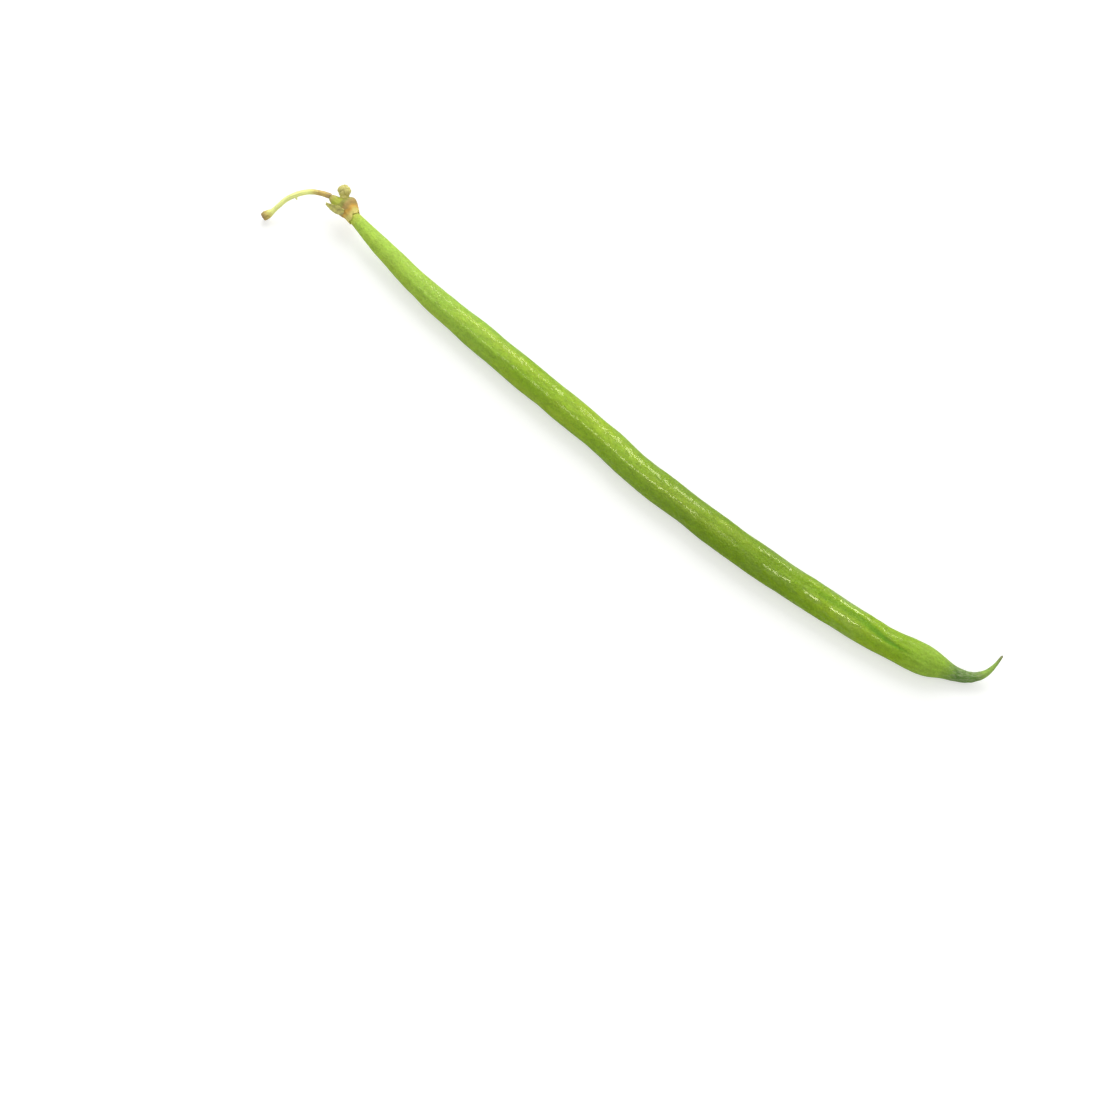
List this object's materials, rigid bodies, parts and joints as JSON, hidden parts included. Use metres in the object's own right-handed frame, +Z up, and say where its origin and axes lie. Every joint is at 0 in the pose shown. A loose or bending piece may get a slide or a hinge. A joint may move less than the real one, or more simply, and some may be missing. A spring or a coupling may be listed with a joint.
{
  "type": "green bean",
  "caption": "Slender green bean as picked, lying on a surface: a gently bent round pod with a thin curled beak, a small dry calyx with withered leaflets, and an arched stalk.",
  "frame": {"origin": "on the surface the bean rests on, under the middle of its bounding box", "axes": "+X runs from the stalk end to the beak, +Z points up from the surface, and the beak curls towards +Y"},
  "size_m": [0.1739, 0.0165, 0.0073],
  "materials": {
    "pod_skin": "fresh bean skin: waxy and slightly wet, finely pitted, yellow-green with a darker beak",
    "calyx_tissue": "matt plant tissue, green at the stalk and dried to tan at the rim",
    "stalk_tissue": "satin plant stalk, pale yellow-green, brown at both ends",
    "leaf_tissue": "matt withered leaf, olive with paler edges"
  },
  "bodies": {
    "root": {"pod": "pod_skin", "calyx": "calyx_tissue", "pedicel": "stalk_tissue", "bracteole_lower": "leaf_tissue", "bracteole_upper": "leaf_tissue"}
  },
  "joints": []
}
